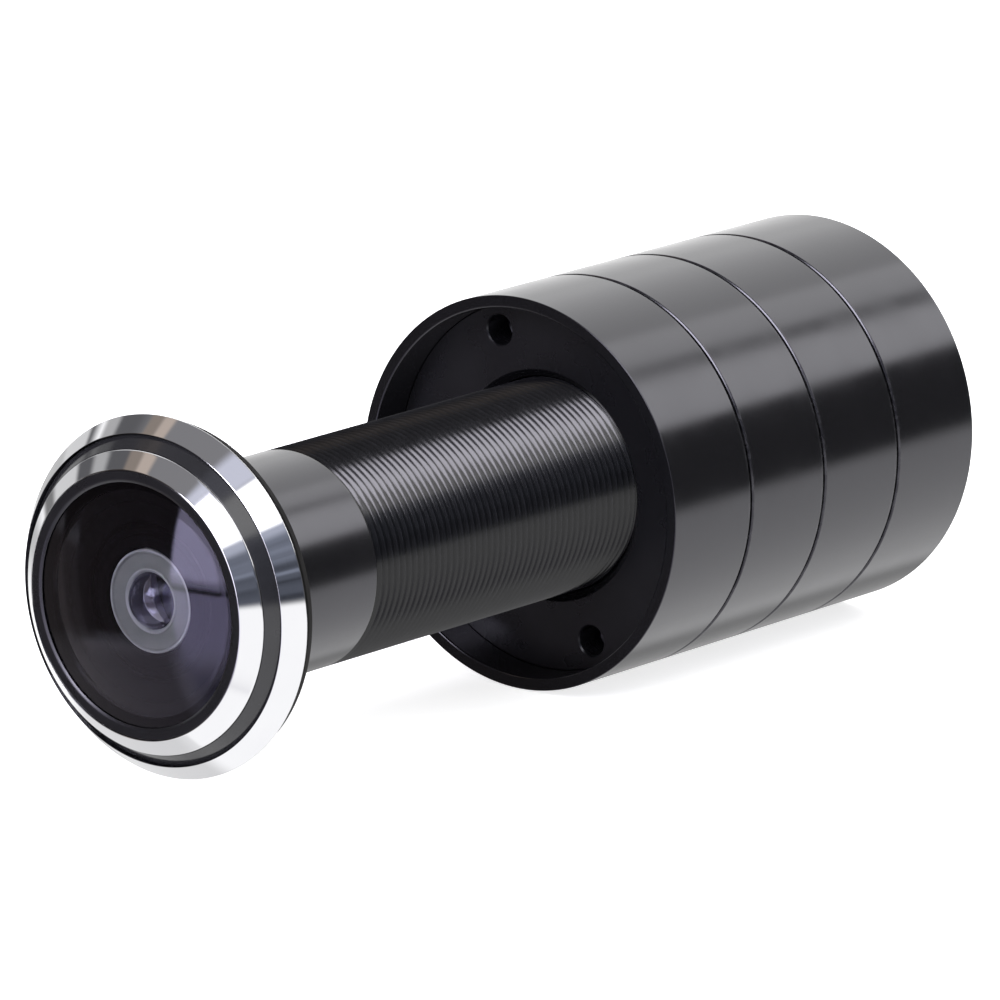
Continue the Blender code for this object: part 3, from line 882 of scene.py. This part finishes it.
def makeRearEnd():
    size, cap = capShape, span("rear_cap")
    rear, front = cap.rear, cap.front
    outer, hole = housingShape["spigotRadius"] + size["edgeGap"], size["grommetHole"]
    piece = lathe("rearCapTurned", softCorners([
        (outer, rear, 0.12), (outer, front), (hole, front), (hole, rear, 0.1),
        *[(radius, rear - depth, *rounding) for radius, depth, *rounding in size["ring"]],
    ]), 192)
    screws = ["cap_screw_%d" % i for i in (1, 2, 3)]
    seat, wide, floor = size["seatRadius"], size["seatRadius"] + size["seatChamfer"], rear - size["seatDepth"]
    cutters = []
    for screw in screws:
        place = centreOf(screw) / mm
        cutters.append(lathe("screwSeat", [
            (0.0, rear + 1), (wide, rear + 1), (wide, rear + 0.01), (seat, rear - size["seatChamfer"] + 0.01),
            (seat, floor), (size["shankHole"], floor), (size["shankHole"], front - 1), (0.0, front - 1),
        ], 48, False, (place.x, place.z)))
    piece = drill(piece, cutters)
    finishPiece(piece, "housing", "housing", ["rear_cap"])
    makeScrews("capScrews", screws, "cap", "darkSteel", "housing")
    grommet, size = span("cable_grommet"), grommetShape
    inset, drop = size["nose"]
    outside, inside = rear + size["lap"], front - size["behind"]
    turnedPiece("cableGrommetMoulded", [
        (grommet.radius - inset, grommet.rear, 0.25), (grommet.radius, grommet.rear - drop, 0.3),
        (grommet.radius, outside, 0.1), (size["neck"], outside), (size["neck"], inside),
        (size["flange"], inside, 0.15), (size["foot"], grommet.front, 0.15),
        (size["bore"], grommet.front, 0.15), (size["bore"], grommet.rear, 0.25),
    ], 96, "rubber", "housing", "cable_grommet")


makeHousing()
makeFrontPlate()
makeRearEnd()
print("housing made")


nodeFinishes = {
    "threaded_nipple": "mattBlack", "front_spacer": "plastic", "third_lens": "innerGlass",
    "rear_spacer": "plastic", "infrared_filter": "filterGlass", "image_sensor": "chip",
    "sensor_board": "board", "sensor_retaining_ring": "plate", "sensor_socket": "nylon",
    "sensor_harness": "plastic", "board_carrier": "plastic", "main_board": "board",
    "image_processor": "chip", "power_inductor": "chip", "board_socket": "nylon",
}
nodeFinishes.update({"standoff_%d" % i: "brass" for i in (1, 2, 3)})


# CAD nodes whose shape is right keep it and get their finish
def paintInside():
    for node, key in nodeFinishes.items():
        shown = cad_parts[node]
        shown.data.materials.clear()
        shown.data.materials.append(finish[key])
    screws = ["board_screw_%d" % i for i in (1, 2, 3)]
    makeScrews("boardScrews", screws, "board", "steel", "board_slide")


# The small parts of the main board: ceramic chips in rings, the processor's legs and the header
boardShape = {
    "chipSize": (0.96, 0.34, 0.5), "endSize": (0.2, 0.38, 0.54),
    "chipRings": ((12.2, 26), (10.4, 20), (8.4, 14)), "chipEdge": 0.04, "endEdge": 0.03,
    "chipTurn": 3.1, "clearance": 1.0, "legPitch": 0.5, "legsPerSide": 13,
    "legSize": (0.22, 0.14, 0.75), "legReach": 0.6, "pinPitch": 1.25, "pins": 5, "pinSize": (0.42, 2.6, 0.42),
    "pinDrop": 1.9, "pinEdge": 0.05, "shroudWall": 0.45, "shroudDepth": 3.1, "shroudEdge": 0.12,
}


# Whether a place on the board (x, z) keeps clear of every taller part there
def clearOf(x, z, nodes):
    gap = boardShape["clearance"] * mm
    for node in nodes:
        low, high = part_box(node)
        if low.x - gap < x * mm < high.x + gap and low.z - gap < z * mm < high.z + gap:
            return False
    return True


def makeBoardChips():
    face = span("main_board").rear
    tall = ["image_processor", "power_inductor", "filter_capacitor", "output_connector"]
    tall += ["board_screw_%d" % i for i in (1, 2, 3)]
    places = []
    for radius, count in boardShape["chipRings"]:
        for k in range(count):
            angle = 2 * math.pi * k / count
            x, z = radius * math.cos(angle), radius * math.sin(angle)
            if clearOf(x, z, tall):
                places.append((x * mm, face * mm, z * mm))
    size, end, turn = boardShape["chipSize"], boardShape["endSize"], boardShape["chipTurn"]
    body = boxesMesh("chipBody", [((0, size[1] / 2, 0), size)], boardShape["chipEdge"])
    repeatShape("ceramicChips", places, body, turn, "ceramic", "board_slide", [])
    pair = [((side * size[0] / 2, end[1] / 2, 0), end) for side in (-1, 1)]
    ends = boxesMesh("chipEnds", pair, boardShape["endEdge"])
    repeatShape("ceramicChipEnds", places, ends, turn, "steel", "board_slide", [])
    print("small chips:", len(places))


def makeProcessorLegs():
    low, high = (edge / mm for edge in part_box("image_processor"))
    middle, size = (low + high) / 2, high - low
    width, height, length = boardShape["legSize"]
    reach, y = length * boardShape["legReach"], low.y + height / 2
    across, upright = [], []
    for k in range(boardShape["legsPerSide"]):
        step = (k - (boardShape["legsPerSide"] - 1) / 2) * boardShape["legPitch"]
        for side in (-1, 1):
            across.append((middle.x + step, y, middle.z + side * (size.z + reach) / 2))
            upright.append((middle.x + side * (size.x + reach) / 2, y, middle.z + step))
    for name, places, leg in (
        ("processorLegsAcross", across, (width, height, length)),
        ("processorLegsUpright", upright, (length, height, width)),
    ):
        shape = boxesMesh("leg", [((0, 0, 0), leg)])
        places = [[value * mm for value in place] for place in places]
        repeatShape(name, places, shape, 0.0, "steel", "board_slide", [])


def makeHeader():
    low, high = (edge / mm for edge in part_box("output_connector"))
    middle, size = (low + high) / 2, high - low
    wall = boardShape["shroudWall"]
    shroud = boxesMesh("headerShroud", [(middle, size)], boardShape["shroudEdge"])
    inside = (size.x - 2 * wall, boardShape["shroudDepth"] * 2, size.z - 2 * wall)
    shroud = drill(shroud, [boxesMesh("cavity", [((middle.x, high.y, middle.z), inside)])])
    finishPiece(shroud, "nylon", "board_slide", ["output_connector"])
    steps = [(k - (boardShape["pins"] - 1) / 2) * boardShape["pinPitch"] for k in range(boardShape["pins"])]
    y = (high.y - boardShape["pinDrop"]) * mm
    places = [((middle.x + step) * mm, y, middle.z * mm) for step in steps]
    pin = boxesMesh("pin", [((0, 0, 0), boardShape["pinSize"])], boardShape["pinEdge"])
    repeatShape("headerPins", places, pin, 0.0, "brass", "board_slide", [])


capacitorShape = {
    "bead": ((0.0, 0.0, 0.1), (0.0, 0.55, 0.12), (0.16, 0.7, 0.1), (0.0, 0.85, 0.12)), "sleeveEdge": 0.35,
    "canRadius": 1.62, "sleeveLip": 0.2, "core": 0.4, "topDrop": 0.05, "topThickness": 0.14,
    "vent": (2.2, 0.1, 0.12),
}


def makeCapacitor():
    size, can, place = capacitorShape, span("filter_capacitor"), centreOf("filter_capacitor") / mm
    lip = can.rear - size["sleeveLip"]
    turnedPiece("capacitorSleeve", [
        *[(can.radius - inset, can.front + up, rounding) for inset, up, rounding in size["bead"]],
        (can.radius, can.rear, size["sleeveEdge"]), (size["canRadius"], can.rear, 0.05),
        (size["canRadius"], lip), (size["core"], lip), (size["core"], can.front),
    ], 64, "sleeve", "board_slide", "filter_capacitor", (place.x, place.z))
    rear, radius = can.rear - size["topDrop"], size["canRadius"] - fit
    front = rear - size["topThickness"]
    outline = [(0.0, front), (radius, front), (radius, rear), (0.0, rear)]
    top = lathe("capacitorTop", outline, 64, False, (place.x, place.z))
    centre, vent = (place.x, rear, place.z), size["vent"]
    slots = [boxesMesh("vent", [(centre, vent)]), boxesMesh("vent", [(centre, vent[::-1])])]
    finishPiece(drill(top, slots), "steel", "board_slide", [])


paintInside()
makeBoardChips()
makeProcessorLegs()
makeHeader()
makeCapacitor()
print("inside finished")


stageSet = {"floorSize": 8.0, "floorDrop": 0.00005, "floorColour": rgb(0.88, 0.88, 0.88), "floorGlow": 0.75}


def makeFloor():
    shape = bmesh.new()
    bmesh.ops.create_grid(shape, x_segments=1, y_segments=1, size=stageSet["floorSize"] / 2)
    bmesh.ops.translate(shape, vec=(0, 0, cadLow.z - stageSet["floorDrop"]), verts=shape.verts)
    floor = meshObject("paleFloor", shape)
    made, t, put = newMaterial("paleFloorPaint")
    put("Base Color", stageSet["floorColour"])
    put("Roughness", 0.9)
    put("Specular IOR Level", 0.1)
    put("Emission Color", rgb(1.0, 1.0, 1.0))
    put("Emission Strength", stageSet["floorGlow"])
    floor.data.materials.append(made)
    floor.visible_glossy = False  # the sweep on the sky stands for it in reflections and in the glass
    floor.visible_transmission = False


# The studio as panels on the sky, each laid over the ones before it: azimuth low and high (0 is +Y, 90 is
# +X), elevation low and high, softness of the edge, tilt, strength and colour. Angles are in degrees.
white, cool, lavender, cream = (1.0, 1.0, 1.0), (0.72, 0.79, 1.0), (0.93, 0.88, 1.1), (1.0, 0.85, 0.74)
studioPanels = {
    "ceiling": (-180, 180, 44, 91, 6, 0, 0.31, (0.97, 0.96, 1.0)),
    "sweep": (-180, 180, -91, -2, 2.5, 0, 1.45, white),
    "sweepLeft": (-126, -50, -72, -25, 6, 0, 0.97, white),
    "sweepBack": (4, 62, -50, -4, 3, 0, 1.55, white),
    "sweepShade": (-50, -14, -45, -12, 6, 0, 0.54, white),
    "backGap": (-14, 66, -9.5, 26, 3, 0, 0.10, white),
    "backLow": (-62, -24, -6, 26, 5, 0, 1.3, white),
    "backBoxLeft": (-80, 4, 19, 62, 4, 0, 1.65, white),
    "backBoxMiddle": (-3, 20, 20.5, 62, 2, 0, 2.5, white),
    "backBox": (18, 64, 20.5, 62, 1.6, 0, 3.3, white),
    "backBoxSeam": (14, 20.5, 20, 62, 1.4, 0, 0.95, white),
    "rightWall": (92, 168, -2.4, 34, 2.3, -0.1, 0.15, cool),
    "rightGlow": (100, 174, 13, 34, 2, -0.36, 0.30, cool),
    "rightShelf": (100, 168, 11.6, 13.0, 0.6, -0.05, 0.42, cool),
    "rightBoxGlow": (104, 178, 25.5, 40, 2.5, -0.42, 0.68, (0.85, 0.9, 1.08)),
    "rightBoxHalo": (136, 186, 52, 74, 4, -0.36, 0.9, (0.93, 0.95, 1.1)),
    "rightBox": (104, 172, 33, 60, 2, -0.36, 3.2, white),
    "frontLow": (152, 206, -44, -24, 9, 0, 0.45, lavender),
    "frontFade": (156, 204, -26, -2, 6, 0, 1.3, lavender),
    "frontPanel": (161, 204, -4, 24, 1.0, 0, 3.0, (0.95, 0.92, 1.07)),
    "frontBox": (162, 194, 19, 46, 2, 0, 14.0, (0.97, 0.95, 1.06)),
    "frontSeam": (178, 210, -7.4, -6.0, 0.4, 0, 0.15, white),
    "darkRoomLow": (-155, -96, -46, -20, 6, 0, 0.34, (1.0, 0.93, 0.93)),
    "darkRoomLeft": (-118, -96, -24, -1.5, 4, 0, 0.16, (1.0, 0.88, 0.84)),
    "darkRoom": (-156, -114, -22, 38, 1.2, 0, 0.07, (1.0, 0.85, 0.8)),
    "leftNear": (-70, -50, -14, 5, 4, 0, 0.66, white),
    "leftHorizon": (-112, -70, -3, 3, 1.5, 0, 0.27, white),
    "leftStripLow": (-112, -57, 2.2, 14.5, 1.5, 0, 0.88, white),
    "leftStripHigh": (-112, -60, 22.5, 29.5, 1.8, 0, 0.6, white),
    "leftBrown": (-136, -88, 38.5, 47, 1.5, 0.36, 0.36, cream),
    "leftCream": (-136, -88, 46.5, 54, 1.5, 0.36, 0.68, cream),
}
cloudedPanels = {"rightWall": 1.9, "rightGlow": 1.2}  # how strongly mottling shows in them
wallMottle = (11.0, 5.0, 0.62)
wallGlow, backdropGlow = rgb(0.150, 0.150, 0.158), rgb(0.97, 0.97, 0.97)


# How far a direction lies inside a panel: 1 inside, 0 outside, smooth across its edge
def panelMask(t, azimuth, elevation, panel):
    left, right, low, high, soft, tilt = panel[:6]
    across = t.math("SUBTRACT", azimuth, (left + right) / 2)
    across = t.math("WRAP", across, 180.0, -180.0)
    level = t.math("SUBTRACT", t.math("MULTIPLY_ADD", across, -tilt, elevation), (low + high) / 2)
    half = (right - left) / 2 if right - left < 360 else 400.0  # a panel all the way round has no side edges
    beyondSide = t.math("SUBTRACT", t.math("ABSOLUTE", across), half)
    beyondEnd = t.math("SUBTRACT", t.math("ABSOLUTE", level), (high - low) / 2)
    return t.remap(t.math("MAXIMUM", beyondSide, beyondEnd), -soft, soft, 1.0, 0.0, True)


# A quiet studio drawn on the sky: soft boxes, a white sweep, a grey ceiling and a dark side
def makeStudio():
    world = bpy.data.worlds.new("studio")
    world.use_nodes = True
    bpy.context.scene.world = world
    t = Tree(world.node_tree)
    world.node_tree.nodes.clear()
    direction = t.add("ShaderNodeTexCoord").outputs["Generated"]
    x, y, z = t.axes(direction)
    azimuth = t.math("MULTIPLY", t.math("ARCTAN2", x, y), 180 / math.pi)
    elevation = t.math("MULTIPLY", t.math("ARCSINE", z), 180 / math.pi)
    light = wallGlow
    mottle = t.math("SUBTRACT", t.noise(direction, *wallMottle), 0.5)
    for name, panel in studioPanels.items():
        strength, colour = panel[6:]
        panelLight = rgb(*[strength * c for c in colour])
        if name in cloudedPanels:
            share = t.math("MULTIPLY_ADD", mottle, cloudedPanels[name] * 2, 0.5, clamp=True)
            dim, bright = (rgb(*[level * c for c in panelLight[:3]]) for level in (0.5, 1.5))
            panelLight = t.blendColour(share, dim, bright)
        light = t.blendColour(panelMask(t, azimuth, elevation, panel), light, panelLight)
    seen = t.add("ShaderNodeLightPath").outputs["Is Camera Ray"]
    studio, backdrop = (t.node("ShaderNodeBackground", {"Color": glow}) for glow in (light, backdropGlow))
    mix = t.node("ShaderNodeMixShader", {0: seen, 1: studio, 2: backdrop})
    t.wire(mix, t.add("ShaderNodeOutputWorld").inputs["Surface"])


cameraSet = {
    "azimuth": 39.25, "elevation": 13.87, "distance": 0.80805, "aside": 0.0270, "raised": 0.00782,
    "lens": 361.26,
}


# A long lens, level with the object's own slope, that looks along the axis from the bezel's side
def makeCamera():
    azimuth, elevation = math.radians(cameraSet["azimuth"]), math.radians(cameraSet["elevation"])
    level = math.cos(elevation)
    right = Vector((math.cos(azimuth), math.sin(azimuth), 0))
    back = Vector((math.sin(azimuth) * level, -math.cos(azimuth) * level, math.sin(elevation)))
    up = back.cross(right)
    rimFront = span("bezel_flange").rear - bezelShape["rimSetBack"] - bezelShape["rimThickness"]
    rim = Vector((0, rimFront * mm, 0))
    data = bpy.data.cameras.new("camera")
    data.lens = cameraSet["lens"]
    camera = bpy.data.objects.new("camera", data)
    bpy.context.scene.collection.objects.link(camera)
    place = rim + right * cameraSet["aside"] + up * cameraSet["raised"] + back * cameraSet["distance"]
    turn = Matrix((right, up, back)).transposed()
    camera.matrix_world = Matrix.Translation(place) @ turn.to_4x4()
    bpy.context.scene.camera = camera


makeFloor()
makeStudio()
makeCamera()
bpy.context.scene.view_settings.view_transform = "Standard"
print("stage set")
